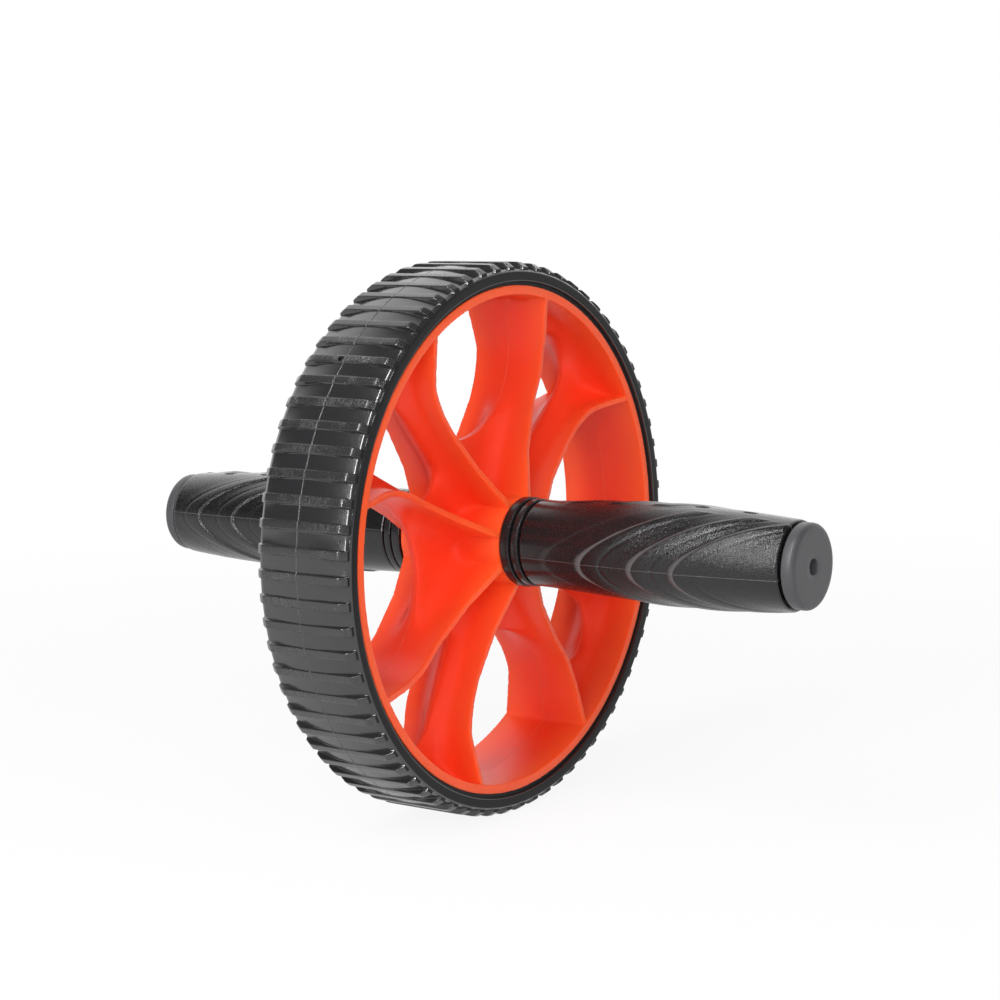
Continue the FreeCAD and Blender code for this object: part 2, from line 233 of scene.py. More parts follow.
class RollerSettings(bpy.types.PropertyGroup):
    """All settings of the roller."""
    tyre: bpy.props.PointerProperty(type=RollerTyreSettings)
    wheel: bpy.props.PointerProperty(type=RollerWheelSettings)
    grip: bpy.props.PointerProperty(type=RollerGripSettings)
    handle: bpy.props.PointerProperty(type=RollerHandleSettings)
    stage: bpy.props.PointerProperty(type=RollerStageSettings)


def smooth_step(low, high, value):
    """0 below low, 1 above high, and an even curve between them."""
    share = min(max((value - low) / (high - low), 0.0), 1.0)
    return share * share * (3 - 2 * share)


def pick_only(piece):
    """Deselect everything, then select one piece and make it active."""
    if bpy.context.mode != "OBJECT":
        bpy.ops.object.mode_set(mode="OBJECT")
    bpy.ops.object.select_all(action="DESELECT")
    piece.select_set(True)
    bpy.context.view_layer.objects.active = piece


def edit_all(piece):
    """Open a piece in edit mode with all of it selected."""
    pick_only(piece)
    bpy.ops.object.mode_set(mode="EDIT")
    bpy.ops.mesh.select_all(action="SELECT")


def leave_edit():
    """Back to object mode."""
    bpy.ops.object.mode_set(mode="OBJECT")


def new_sheet(name, columns, rows):
    """Flat grid of faces, ready to be shaped."""
    bpy.ops.object.select_all(action="DESELECT")
    bpy.ops.mesh.primitive_grid_add(x_subdivisions=columns, y_subdivisions=rows, size=1)
    sheet = bpy.context.object
    sheet.name = name
    sheet.data.name = name
    return sheet


def shape_sheet(sheet, columns, rows, mask_name, place):
    """Move each point of a grid where place(column, row) says, and keep the mask value that it gives."""
    mask = sheet.data.attributes.new(mask_name, "FLOAT", "POINT")
    for point in sheet.data.vertices:
        column = round((point.co.x + 0.5) * columns)
        row = round((point.co.y + 0.5) * rows)
        point.co, mask.data[point.index].value = place(column, row)


def span_of_node(node):
    """Where a handle's CAD node starts and ends, counted from the wheel's middle, and its radius."""
    low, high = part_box(node)
    near, far = sorted((abs(low.y), abs(high.y)))
    return near, far, high.z


def weld_and_face_out(piece):
    """Merge doubled points and turn all faces outwards."""
    edit_all(piece)
    bpy.ops.mesh.remove_doubles(threshold=WELD)
    bpy.ops.mesh.normals_make_consistent(inside=False)
    leave_edit()


def copy_of_node(node, name):
    """Separate piece with the merged shape of a CAD node."""
    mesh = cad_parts[node].data.copy()
    mesh.name = name
    mesh.materials.clear()
    piece = bpy.data.objects.new(name, mesh)
    bpy.context.scene.collection.objects.link(piece)
    pick_only(piece)
    bpy.ops.mesh.customdata_custom_splitnormals_clear()
    edit_all(piece)
    bpy.ops.mesh.remove_doubles(threshold=WELD / 2)
    leave_edit()
    return piece


def round_corner(middle, size, start):
    """Points of a quarter circle in a profile; start is its first angle in degrees."""
    turns = [math.radians(start + 22.5 * step) for step in range(5)]
    return [(middle[0] + size * math.cos(turn), middle[1] + size * math.sin(turn)) for turn in turns]


def turned_piece(name, profile, way, steps=96):
    """Turn a closed profile of (radius, distance from the wheel's middle) round the axle."""
    bpy.ops.object.select_all(action="DESELECT")
    bpy.ops.mesh.primitive_circle_add(vertices=len(profile), radius=1)
    piece = bpy.context.object
    piece.name = name
    piece.data.name = name
    for point, (radius, outward) in zip(piece.data.vertices, profile):
        point.co = (0.0, way * outward, radius)
    edit_all(piece)
    bpy.ops.mesh.spin(steps=steps, angle=2 * math.pi, center=(0, 0, 0), axis=(0, 1, 0))
    leave_edit()
    weld_and_face_out(piece)
    return piece


def finish_piece(piece, material, body, slot, *nodes):
    """Smooth a piece, give it its material, and let it ride for its CAD nodes."""
    pick_only(piece)
    bpy.ops.object.shade_smooth_by_angle(angle=SMOOTH_ANGLE)
    piece.data.materials.clear()
    piece.data.materials.append(material)
    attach(piece, body)
    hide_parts(*nodes)


def dress_node(node, material):
    """Give a CAD node that stays as it is a better material."""
    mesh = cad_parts[node].data
    mesh.materials.clear()
    mesh.materials.append(material)


class Nodes:
    """Short way to add and join the nodes of a material or group."""

    def __init__(self, tree):
        self.tree = tree

    def add(self, kind, settings=None, **sockets):
        """Add a node; a socket takes a value or another node's output."""
        node = self.tree.nodes.new(kind)
        for key, value in (settings or {}).items():
            setattr(node, key, value)
        for key, value in sockets.items():
            self.join(node.inputs[key.replace("_", " ")], value)
        return node

    def join(self, socket, value):
        """Set a socket, or link it where the value is an output."""
        if isinstance(value, bpy.types.NodeSocket):
            self.tree.links.new(value, socket)
        else:
            socket.default_value = value

    def math(self, operation, first, second=0.0, third=0.0):
        """Output of a Math node."""
        node = self.add("ShaderNodeMath", {"operation": operation})
        for socket, value in zip(node.inputs, (first, second, third)):
            self.join(socket, value)
        return node.outputs[0]

    def spread(self, value, low, high, to_low=0.0, to_high=1.0):
        """Output of a Map Range node with an even curve."""
        node = self.add("ShaderNodeMapRange", {"interpolation_type": "SMOOTHSTEP"}, Value=value,
                        From_Min=low, From_Max=high, To_Min=to_low, To_Max=to_high)
        return node.outputs[0]

    def blend(self, share, first, second):
        """Mix of two colours."""
        node = self.add("ShaderNodeMix", {"data_type": "RGBA"}, Factor=share)
        self.join(node.inputs[6], first)
        self.join(node.inputs[7], second)
        return node.outputs[2]

    def group(self, name, build, **sockets):
        """Place the node group of that name, built the first time it is asked for."""
        tree = bpy.data.node_groups.get(name) or build(name)
        return self.add("ShaderNodeGroup", {"node_tree": tree}, **sockets).outputs


def start_group(name, inputs, outputs):
    """Empty shader node group with float sockets; gives the helper, its inputs and its end node."""
    tree = bpy.data.node_groups.new(name, "ShaderNodeTree")
    for socket, value in inputs:
        entry = tree.interface.new_socket(name=socket, in_out="INPUT", socket_type="NodeSocketFloat")
        entry.default_value = value
    for socket in outputs:
        tree.interface.new_socket(name=socket, in_out="OUTPUT", socket_type="NodeSocketFloat")
    made = Nodes(tree)
    start = tree.nodes.new("NodeGroupInput")
    end = tree.nodes.new("NodeGroupOutput")
    return made, start.outputs, end.inputs


def build_axle_places(name):
    """Group: distance from the axle, place along it and angle round it."""
    made, _, end = start_group(name, (), ("Radius", "Along", "Angle"))
    place = made.add("ShaderNodeTexCoord").outputs["Object"]
    split = made.add("ShaderNodeSeparateXYZ", Vector=place).outputs
    across = made.math("MULTIPLY", split["X"], split["X"])
    made.join(end["Radius"], made.math("SQRT", made.math("MULTIPLY_ADD", split["Z"], split["Z"], across)))
    made.join(end["Along"], split["Y"])
    made.join(end["Angle"], made.math("ARCTAN2", split["Z"], split["X"]))
    return made.tree


def build_moulded_grain(name):
    """Group: fine eroded grain, as a height and as a mask of its dimples."""
    made, start, end = start_group(
        name, (("Grains per metre", 2200.0), ("Detail", 3.0)), ("Height", "Dimples"))
    place = made.add("ShaderNodeTexCoord").outputs["Object"]
    fine = made.add("ShaderNodeTexNoise", Vector=place, Scale=start["Grains per metre"],
                    Detail=start["Detail"], Roughness=0.62).outputs["Fac"]
    coarse_scale = made.math("MULTIPLY", start["Grains per metre"], 0.17)
    coarse = made.add("ShaderNodeTexNoise", Vector=place, Scale=coarse_scale,
                      Detail=2.0, Roughness=0.5).outputs["Fac"]
    made.join(end["Height"], made.math("MULTIPLY_ADD", coarse, 0.35, fine))
    made.join(end["Dimples"], made.spread(fine, 0.54, 0.66))
    return made.tree


def build_handling_marks(name):
    """Group: sparse fine scratches and specks."""
    made, start, end = start_group(
        name, (("Marks per metre", 90.0), ("Amount", 1.0)), ("Scratches", "Specks"))
    place = made.add("ShaderNodeTexCoord").outputs["Object"]
    masks = []
    for turn in (0.35, 1.25, 2.3):
        turned = made.add("ShaderNodeMapping", Vector=place,
                          Rotation=(turn * 0.7, turn, turn * 1.9), Scale=(1.0, 9.0, 1.0)).outputs[0]
        streak = made.add("ShaderNodeTexNoise", Vector=turned, Scale=start["Marks per metre"],
                          Detail=5.0, Roughness=0.75).outputs["Fac"]
        masks.append(made.spread(made.math("ABSOLUTE", made.math("SUBTRACT", streak, 0.5)), 0.004, 0.0))
    lines = made.math("MAXIMUM", masks[0], made.math("MAXIMUM", masks[1], masks[2]))
    patch = made.add("ShaderNodeTexNoise", Vector=place, Scale=70.0, Detail=2.0).outputs["Fac"]
    where = made.spread(patch, 0.48, 0.72)
    made.join(end["Scratches"], made.math("MULTIPLY", made.math("MULTIPLY", lines, where), start["Amount"]))
    dots = made.add("ShaderNodeTexNoise", Vector=place, Scale=3800.0, Detail=1.0).outputs["Fac"]
    specks = made.math("MULTIPLY", made.spread(dots, 0.68, 0.74), made.spread(patch, 0.4, 0.62))
    made.join(end["Specks"], made.math("MULTIPLY", specks, start["Amount"]))
    return made.tree


def build_parting_line(name):
    """Group: thin line where a value passes a place."""
    made, start, end = start_group(
        name, (("Value", 0.0), ("Place", 0.0), ("Width", 0.2 * MM)), ("Line",))
    off = made.math("ABSOLUTE", made.math("SUBTRACT", start["Value"], start["Place"]))
    made.join(end["Line"], made.math("SUBTRACT", 1.0, made.spread(off, 0.0, start["Width"])))
    return made.tree


def clear_nodes(owner):
    """Give a material or world an empty node tree, and the helper to fill it."""
    owner.use_nodes = True
    owner.node_tree.nodes.clear()
    return Nodes(owner.node_tree)


def start_material(name, **constants):
    """Material with one Principled shader; gives the material, the node helper and the shader."""
    material = bpy.data.materials.new(name)
    made = clear_nodes(material)
    shader = made.add("ShaderNodeBsdfPrincipled", **constants)
    made.add("ShaderNodeOutputMaterial", Surface=shader.outputs[0])
    return material, made, shader


def rgba(settings_colour, share=1.0):
    """Opaque colour from a setting, lightened or darkened by a share."""
    return tuple(part * share for part in settings_colour) + (1.0,)


def raise_normal(made, shader, height, depth):
    """Bump of a real depth in metres."""
    bump = made.add("ShaderNodeBump", Strength=1.0, Distance=depth, Height=height)
    made.join(shader.inputs["Normal"], bump.outputs[0])


def tyre_material(settings):
    """Glossy black valleys, and rib tops with fine scratches and specks."""
    material, made, shader = start_material("Tyre black", Specular_IOR_Level=0.8)
    places = made.group("Axle places", build_axle_places)
    grain = made.group("Moulded grain", build_moulded_grain, Grains_per_metre=1500.0)
    marks = made.group("Handling marks", build_handling_marks, Amount=1.0)
    line = made.group("Parting line", build_parting_line,
                      Value=places["Along"], Place=settings.line_place, Width=0.26 * MM)["Line"]
    rib = made.add("ShaderNodeAttribute", {"attribute_name": "rib_top"}).outputs["Fac"]
    off = made.math("ABSOLUTE", places["Along"])
    flat = made.spread(off, settings.worn_half, settings.worn_half - 1.2 * MM, 0.12)
    top = made.math("MULTIPLY", made.spread(rib, 0.75, 0.98), flat)
    worn = made.math("MULTIPLY", made.math("MAXIMUM", marks["Scratches"], marks["Specks"]), top)
    tone = made.blend(made.math("MULTIPLY", worn, 0.8), rgba(settings.black), TYRE_WORN)
    # The parting line is real and raised by the bump below; its lighter tone is a painted highlight.
    tone = made.blend(made.math("MULTIPLY", line, 0.6), tone, TYRE_LINE_HIGHLIGHT)
    made.join(shader.inputs["Base Color"], tone)
    rough = made.math("MULTIPLY_ADD", top, 0.1, 0.17)
    rough = made.math("MULTIPLY_ADD", grain["Dimples"], 0.04, rough)
    made.join(shader.inputs["Roughness"], made.math("MULTIPLY_ADD", worn, 0.25, rough))
    pitted = made.math("MULTIPLY", grain["Height"], made.math("MULTIPLY_ADD", top, 0.5, 0.06))
    pitted = made.math("MULTIPLY_ADD", worn, 0.7, pitted)
    raise_normal(made, shader, made.math("MULTIPLY_ADD", line, 1.4, pitted), 0.07 * MM)
    return material


def wheel_material(settings):
    """Orange plastic with faint flow shades, painted shade that darkens it towards mid width, and a parting
    line at mid width with a painted highlight.
    """
    material, made, shader = start_material(
        "Wheel orange", Specular_IOR_Level=0.35, Subsurface_Weight=0.3, Subsurface_Scale=6.0 * MM,
        Subsurface_Radius=(1.0, 0.22, 0.06))
    places = made.group("Axle places", build_axle_places)
    grain = made.group("Moulded grain", build_moulded_grain, Grains_per_metre=900.0)
    marks = made.group("Handling marks", build_handling_marks, Amount=0.5)
    line = made.group("Parting line", build_parting_line,
                      Value=places["Along"], Place=0.0, Width=0.2 * MM)["Line"]
    place = made.add("ShaderNodeTexCoord").outputs["Object"]
    flow = made.add("ShaderNodeTexNoise", Vector=place, Scale=26.0, Detail=2.0).outputs["Fac"]
    # Painted shade: the orange darkens from the outer edges towards mid width, where the webs lie deep in
    # shade; the flow noise adds random tone on top.
    edge = made.spread(made.math("ABSOLUTE", places["Along"]), 3.0 * MM, 19.0 * MM)
    edge = made.math("MULTIPLY_ADD", made.math("SUBTRACT", flow, 0.5), 0.2, edge)
    tone = made.blend(edge, rgba(settings.shaded_orange), rgba(settings.orange))
    # The parting line is real and raised by the bump below; its lighter tone is a painted highlight.
    tone = made.blend(made.math("MULTIPLY", line, 0.4), tone, WHEEL_LINE_HIGHLIGHT)
    tone = made.blend(made.math("MULTIPLY", marks["Scratches"], 0.25), tone, WHEEL_SCRATCH)
    made.join(shader.inputs["Base Color"], tone)
    made.join(shader.inputs["Roughness"], made.math("MULTIPLY_ADD", grain["Dimples"], 0.06, 0.42))
    height = made.math("MULTIPLY_ADD", line, 3.0, made.math("MULTIPLY", grain["Height"], 0.25))
    raise_normal(made, shader, height, 0.03 * MM)
    return material


def grip_material(settings, name, seam):
    """Dark grained rubber with lighter scale edges, and a parting line on two opposite sides with a painted
    highlight.
    """
    material, made, shader = start_material(name, Specular_IOR_Level=0.5)
    places = made.group("Axle places", build_axle_places)
    grain = made.group("Moulded grain", build_moulded_grain,
                       Grains_per_metre=2500.0, Detail=1.0)
    coarse = made.spread(made.math("ABSOLUTE", places["Along"]), 42.0 * MM, 78.0 * MM, 0.16, 1.0)
    marks = made.group("Handling marks", build_handling_marks, Amount=0.6)
    turned = made.math("ABSOLUTE", made.math("SINE", made.math("SUBTRACT", places["Angle"], seam)))
    line = made.group("Parting line", build_parting_line,
                      Value=turned, Place=0.0, Width=0.013)["Line"]
    slope = made.add("ShaderNodeAttribute", {"attribute_name": "scale_edge"}).outputs["Fac"]
    tone = made.blend(slope, rgba(settings.black), rgba(settings.edge_grey))
    tone = made.blend(made.math("MULTIPLY", marks["Specks"], 0.5), tone, GRIP_SPECK)
    # The parting line is real and raised by the bump below; its lighter tone is a painted highlight.
    tone = made.blend(made.math("MULTIPLY", line, 0.5), tone, GRIP_LINE_HIGHLIGHT)
    made.join(shader.inputs["Base Color"], tone)
    rough = made.math("MULTIPLY_ADD", grain["Dimples"], 0.08, 0.2)
    made.join(shader.inputs["Roughness"], made.math("MULTIPLY_ADD", slope, 0.3, rough))
    ground = made.math("MULTIPLY", grain["Height"], made.math("MULTIPLY_ADD", slope, -0.85, 1.0))
    ground = made.math("MULTIPLY", ground, coarse)
    raise_normal(made, shader, made.math("MULTIPLY_ADD", line, 0.45, ground), 0.11 * MM)
    return material


def plain_plastic(name, tone, worn_tone, roughness, grains, depth, gloss=0.4, worn_share=0.6):
    """Moulded plastic with grain and a few handling marks."""
    material, made, shader = start_material(name, Specular_IOR_Level=gloss)
    grain = made.group("Moulded grain", build_moulded_grain, Grains_per_metre=grains)
    marks = made.group("Handling marks", build_handling_marks, Amount=worn_share)
    worn = made.math("MAXIMUM", marks["Scratches"], marks["Specks"])
    made.join(shader.inputs["Base Color"], made.blend(made.math("MULTIPLY", worn, 0.4), tone, worn_tone))
    made.join(shader.inputs["Roughness"], made.math("MULTIPLY_ADD", grain["Dimples"], 0.08, roughness))
    raise_normal(made, shader, grain["Height"], depth)
    return material


def steel_material(settings):
    """Drawn steel with fine lines round the rod."""
    material, made, shader = start_material("Axle steel", Metallic=1.0)
    places = made.group("Axle places", build_axle_places)
    marks = made.group("Handling marks", build_handling_marks, Amount=0.8)
    turned = made.add("ShaderNodeTexNoise", {"noise_dimensions": "1D"},
                      W=places["Along"], Scale=4000.0, Detail=3.0).outputs["Fac"]
    tone = made.blend(turned, rgba(settings.steel, 0.86), rgba(settings.steel, 1.08))
    made.join(shader.inputs["Base Color"], made.blend(marks["Scratches"], tone, rgba(settings.steel, 0.6)))
    made.join(shader.inputs["Roughness"], made.spread(turned, 0.3, 0.7, 0.22, 0.38))
    raise_normal(made, shader, turned, 0.006 * MM)
    return material


class RollerOperator(bpy.types.Operator):
    """Common base of the roller's operators."""
    bl_options = {"REGISTER", "UNDO"}

    def settings(self, context):
        """Settings kept on the scene."""
        return context.scene.roller_settings


def tyre_stations(settings, radius, half_width):
    """Section of the tyre as pairs of points, one on a rib and one in a valley, all the way round it."""
    flat = half_width - settings.bevel_width
    valley_end = half_width - settings.shoulder_width
    bore = radius - settings.thickness
    side_top = radius - settings.valley_edge - settings.shoulder_drop
    edge = settings.side_edge

    def rib_at(along):
        off = along - flat
        ramp = (off + math.hypot(off, settings.crease)) / 2
        return along, radius - ramp / settings.bevel_width * settings.bevel_drop

    def valley_at(along):
        crown = min(along / valley_end, 1.0) ** 2
        drop = settings.valley_middle + (settings.valley_edge - settings.valley_middle) * crown
        slide = max(along - valley_end, 0.0) / settings.shoulder_width
        return along, radius - drop - settings.shoulder_drop * slide ** 1.25

    flat_rows = (0, 0.12, 0.24, 0.36, 0.48, 0.6, 0.71, 0.81, 0.9)
    crease_rows = (-1.6, -0.7, 0.0, 0.7, 1.6)
    shoulder_rows = (-0.08, 0.0, 0.15, 0.35, 0.55)
    rib_end = half_width - settings.ledge
    end_edge = 0.1 * MM
    places = [flat * share for share in flat_rows]
    places += [flat + off * settings.crease for off in crease_rows]
    places += [valley_end + settings.shoulder_width * share for share in shoulder_rows]
    places.append(rib_end - end_edge)
    half = [(rib_at(along), valley_at(along)) for along in sorted(places)]
    half.append(((rib_end, rib_at(rib_end)[1] - end_edge), valley_at(rib_end)))
    round_in = 0.3 * edge
    groove_top = bore + settings.groove_width
    groove_floor = half_width - settings.groove_depth
    wall = [
        (rib_end + 0.03 * MM, valley_at(rib_end)[1]),
        (half_width - round_in, side_top - round_in),
        (half_width, side_top - edge),
        (half_width, 0.3 * groove_top + 0.7 * side_top),
        (half_width, 0.6 * groove_top + 0.4 * side_top),
        (half_width, groove_top + edge),
        (half_width - round_in, groove_top + round_in),
        (half_width - edge, groove_top),
        (groove_floor, groove_top - end_edge),
        (groove_floor, bore),
        (half_width / 2, bore),
    ]
    half += [(point, point) for point in wall]
    middle = ((0.0, bore), (0.0, bore))
    other = [((-rib[0], rib[1]), (-valley[0], valley[1])) for rib, valley in half[1:]]
    return half + [middle] + other[::-1] + [half[0]]


def tread_columns(settings, radius):
    """Places round one pitch: distance from the rib's middle and how far down the rib's wall it is."""
    half_pitch = math.pi * radius / settings.ribs
    half_rib = settings.rib_width / 2
    edge = settings.rib_edge
    side = [
        (0.0, 0.0, 0.0),
        (half_rib - 2.2 * edge, 0.0, 0.0),
        (half_rib - edge, 0.03, 0.0),
        (half_rib - 0.45 * edge, 0.28, 0.0),
        (half_rib - 0.1 * edge, 0.8, 0.0),
        (half_rib + 0.25 * edge, 0.0, 0.8),
        (half_rib + 0.9 * edge, 0.0, 0.97),
        (half_rib + 2.0 * edge, 0.0, 1.0),
        (half_pitch, 0.0, 1.0),
    ]
    return [(-place, near, far) for place, near, far in side[:0:-1]] + side


class ROLLER_OT_tyre(RollerOperator):
    """Shape one pitch of the tread from a sheet and turn it round the axle"""
    bl_idname = "roller.make_tyre"
    bl_label = "Tyre"

    def sink_pit(self, tyre, settings, radius):
        """Sink the small round gate pit into the top of one rib."""
        turn = settings.pit_turn
        bpy.ops.object.select_all(action="DESELECT")
        bpy.ops.mesh.primitive_cylinder_add(
            vertices=20, radius=settings.pit_radius, depth=2 * settings.pit_depth,
            location=(radius * math.sin(turn), settings.pit_place, radius * math.cos(turn)),
            rotation=(0, turn, 0))
        cutter = bpy.context.object
        pick_only(tyre)
        pit = tyre.modifiers.new("Pit", "BOOLEAN")
        pit.operation = "DIFFERENCE"
        pit.object = cutter
        bpy.ops.object.modifier_apply(modifier=pit.name)
        pick_only(cutter)
        bpy.ops.object.delete()

    def execute(self, context):
        settings = self.settings(context).tyre
        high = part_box("tyre")[1]
        radius = high.z
        half_width = high.y
        stations = tyre_stations(settings, radius, half_width)
        columns = tread_columns(settings, radius)
        tyre = new_sheet("Tyre", len(columns) - 1, len(stations) - 1)

        def place(column, row):
            around, near, far = columns[column]
            rib, valley = stations[row]
            depth = math.dist(rib, valley)
            fall = min(near * settings.rib_edge, near * depth) + far * depth
            share = min(fall / depth, 1.0) if depth > TINY else 0.0
            along = rib[0] + (valley[0] - rib[0]) * share
            reach = rib[1] + (valley[1] - rib[1]) * share
            turn = around / radius
            rib_top = 1.0 - share if depth > TINY else 0.0
            return Vector((reach * math.sin(turn), along, reach * math.cos(turn))), rib_top

        shape_sheet(tyre, len(columns) - 1, len(stations) - 1, "rib_top", place)
        edit_all(tyre)
        turns = settings.ribs - 1
        bpy.ops.mesh.spin(steps=turns, dupli=True, angle=2 * math.pi * turns / settings.ribs,
                          center=(0, 0, 0), axis=(0, 1, 0))
        leave_edit()
        weld_and_face_out(tyre)
        self.sink_pit(tyre, settings, radius)
        finish_piece(tyre, tyre_material(settings), "wheel", "tyre", "tyre")
        tyre.data.materials.append(plain_plastic(
            "Tyre side black", rgba(settings.black, 0.8), TYRE_SIDE_WORN,
            roughness=0.5, grains=1300.0, depth=0.02 * MM, gloss=0.16))
        for face in tyre.data.polygons:
            if abs(face.normal.y) > SIDE_FACE:
                face.material_index = 1
        return {"FINISHED"}


class ROLLER_OT_wheel(RollerOperator):
    """Lay a fine even skin over the wheel centre and melt its edges and wall roots round"""
    bl_idname = "roller.make_wheel_centre"
    bl_label = "Wheel centre"

    def melt(self, wheel, passes, group=""):
        """Smooth the skin, all over or where a vertex group says."""
        melting = wheel.modifiers.new("Melting", "SMOOTH")
        melting.factor = 0.5
        melting.iterations = passes
        melting.vertex_group = group
        bpy.ops.object.modifier_apply(modifier=melting.name)

    def thin(self, wheel, share):
        """Thin the skin where it is even; in millimetres, because thinning goes blind on tiny faces."""
        wheel.data.transform(Matrix.Scale(1 / MM, 4))
        thinning = wheel.modifiers.new("Thinning", "DECIMATE")
        thinning.ratio = share
        bpy.ops.object.modifier_apply(modifier=thinning.name)
        wheel.data.transform(Matrix.Scale(MM, 4))

    def execute(self, context):
        settings = self.settings(context).wheel
        wheel = copy_of_node("wheel_centre", "WheelCentre")
        pick_only(wheel)
        skin = wheel.modifiers.new("Skin", "REMESH")
        skin.mode = "SHARP"
        skin.octree_depth = settings.skin_depth
        skin.use_remove_disconnected = False
        bpy.ops.object.modifier_apply(modifier=skin.name)
        roots = wheel.vertex_groups.new(name="roots")
        for point in wheel.data.vertices:
            off = abs(point.co.y)
            share = smooth_step(settings.root_reach * 1.5, settings.root_reach, off)
            share *= smooth_step(settings.web_half - 0.3 * MM, settings.web_half, off)
            if share > 0:
                roots.add([point.index], share, "REPLACE")
        self.melt(wheel, settings.root_passes, roots.name)
        self.melt(wheel, settings.edge_passes)
        wheel.vertex_groups.clear()
        self.thin(wheel, settings.kept_faces)
        finish_piece(wheel, wheel_material(settings), "wheel", "wheel_plastic", "wheel_centre")
        return {"FINISHED"}


class ROLLER_OT_grips(RollerOperator):
    """Roll a sheet into each grip and raise its rows of scales"""
    bl_idname = "roller.make_grips"
    bl_label = "Grips"

    # Rows of scales and notches: millimetres from the wheel's middle, and for rows how strong each is.
    inward_tips = ((37.0, 0.12), (50.8, 1.0), (69.8, 1.0), (84.9, 0.9))
    outward_tips = ((76.6, 0.9), (91.5, 1.0), (107.4, 1.0))
    notches = (87.0, 103.7)
    notch_half_length = 3.0 * MM
    notch_half_width = 1.4 * MM
    edge_fade = 0.3 * MM
    arm_fade = math.radians(4)
    blunt_reach = math.radians(38)
    outward_blunt = 0.1
    outward_matt = 0.15
    lip_falls = (0.25 * MM, 0.07 * MM, 0.01 * MM)
    lip_rows = 4

    def relief(self, settings, outward, turn, radius):
        """Height of the surface over the ground at a place, and how far it is on a scale's edge."""
        turn = math.atan2(math.sin(turn), math.cos(turn))
        inward_side = abs(turn) < math.pi / 2
        fold = abs(turn) if inward_side else math.pi - abs(turn)
        far = math.hypot(settings.nose, settings.arm_run * fold)
        run = far - settings.nose
        lean = 1.0 / math.hypot(1.0, settings.arm_run ** 2 * fold / (far * radius))
        shown = smooth_step(settings.arm_reach, settings.arm_reach - self.arm_fade, fold)
        blunt = 1.0 - smooth_step(0.0, self.blunt_reach, fold) if inward_side else self.outward_blunt
        slope = settings.arm_slope + (settings.tip_slope - settings.arm_slope) * blunt
        height = edge = crease = 0.0
        for tip, strength in self.inward_tips if inward_side else self.outward_tips:
            off = outward - tip * MM
            past = off - run if inward_side else off + run
            rise = strength * smooth_step(-slope, 0.0, past * lean)
            height = max(height, rise * (1.0 - smooth_step(0.0, settings.scale_length, past)))
            edge = max(edge, rise * (1.0 - smooth_step(0.0, self.edge_fade, past * lean)))
            beside = off - settings.crease_offset - (run if inward_side else -run)
            crease = max(crease, strength * math.exp(-(beside * lean / settings.crease_width) ** 2))
        dip = 0.0
        for notch in self.notches:
            across = (abs(turn) - settings.notch_turn) * radius / self.notch_half_width
            reach = math.hypot((outward - notch * MM) / self.notch_half_length, across)
            dip = max(dip, 1.0 - smooth_step(0.6, 1.0, reach))
        raised = settings.scale_height * height - settings.crease_depth * crease
        matt = edge if inward_side else self.outward_matt * edge
        return raised * shown - settings.notch_depth * dip, matt * shown

    def execute(self, context):
        settings = self.settings(context).grip
        for side, way in SIDES:
            node = "grip_" + side
            near, far, _ = span_of_node(node)
            grip = new_sheet("Grip_" + side, settings.around, settings.along)
            start = settings.right_turn if side == "right" else settings.left_turn
            material = grip_material(settings, "Grip black " + side, start + settings.seam_lead)

            def place(column, row):
                turn = 2 * math.pi * column / settings.around
                outward = near + (far - near) * row / settings.along
                swell = math.sin(math.pi * (row / settings.along) ** settings.swell_lean)
                radius = settings.end_radius + settings.swell * swell
                aim = turn - start
                if side == "left":
                    aim += math.pi
                height, edge = self.relief(settings, outward, aim, radius)
                lip = min(row, settings.along - row)
                soft = self.lip_falls[lip] if lip < len(self.lip_falls) else 0.0
                reach = radius - settings.base_drop + height * min(lip / self.lip_rows, 1.0) - soft
                return Vector((reach * math.cos(turn), way * outward, reach * math.sin(turn))), edge

            shape_sheet(grip, settings.around, settings.along, "scale_edge", place)
            self.close_ends(grip, self.settings(context).handle.core_radius)
            finish_piece(grip, material, "handlebar", "grip_rubber", node)
        return {"FINISHED"}

    def close_ends(self, grip, bore):
        """Fold the two open ends in to the core and join them along its bore."""
        edit_all(grip)
        bpy.ops.mesh.remove_doubles(threshold=WELD)
        bpy.ops.mesh.select_all(action="DESELECT")
        bpy.ops.mesh.select_mode(type="EDGE")
        bpy.ops.mesh.select_non_manifold()
        bpy.ops.mesh.extrude_region_move()
        shape = bmesh.from_edit_mesh(grip.data)
        for point in shape.verts:
            if point.select:
                share = bore / math.hypot(point.co.x, point.co.z)
                point.co.x *= share
                point.co.z *= share
        bmesh.update_edit_mesh(grip.data)
        bpy.ops.mesh.bridge_edge_loops()
        bpy.ops.mesh.select_all(action="SELECT")
        bpy.ops.mesh.normals_make_consistent(inside=False)
        bpy.ops.mesh.select_mode(type="VERT")
        leave_edit()


class ROLLER_OT_rings(RollerOperator):
    """Round the collars and rings between the wheel and the grips"""
    bl_idname = "roller.make_handle_rings"
    bl_label = "Collars and rings"

    def execute(self, context):
        settings = self.settings(context).handle
        material = plain_plastic("Handle black", rgba(settings.black), HANDLE_WORN,
                                 roughness=0.24, grains=1300.0, depth=0.002 * MM, worn_share=0.05)
        edge = settings.ring_edge
        for side, way in SIDES:
            for node, name in (("handle_collar_", "HandleCollar_"), ("grip_ring_", "GripRing_")):
                near, far, radius = span_of_node(node + side)
                profile = [(settings.core_radius, far), (settings.core_radius, near)]
                profile += round_corner((radius - edge, near + edge), edge, -90)
                profile += round_corner((radius - edge, far - edge), edge, 0)
                ring = turned_piece(name + side, profile, way)
                finish_piece(ring, material, "handlebar", "handle_plastic", node + side)
        return {"FINISHED"}


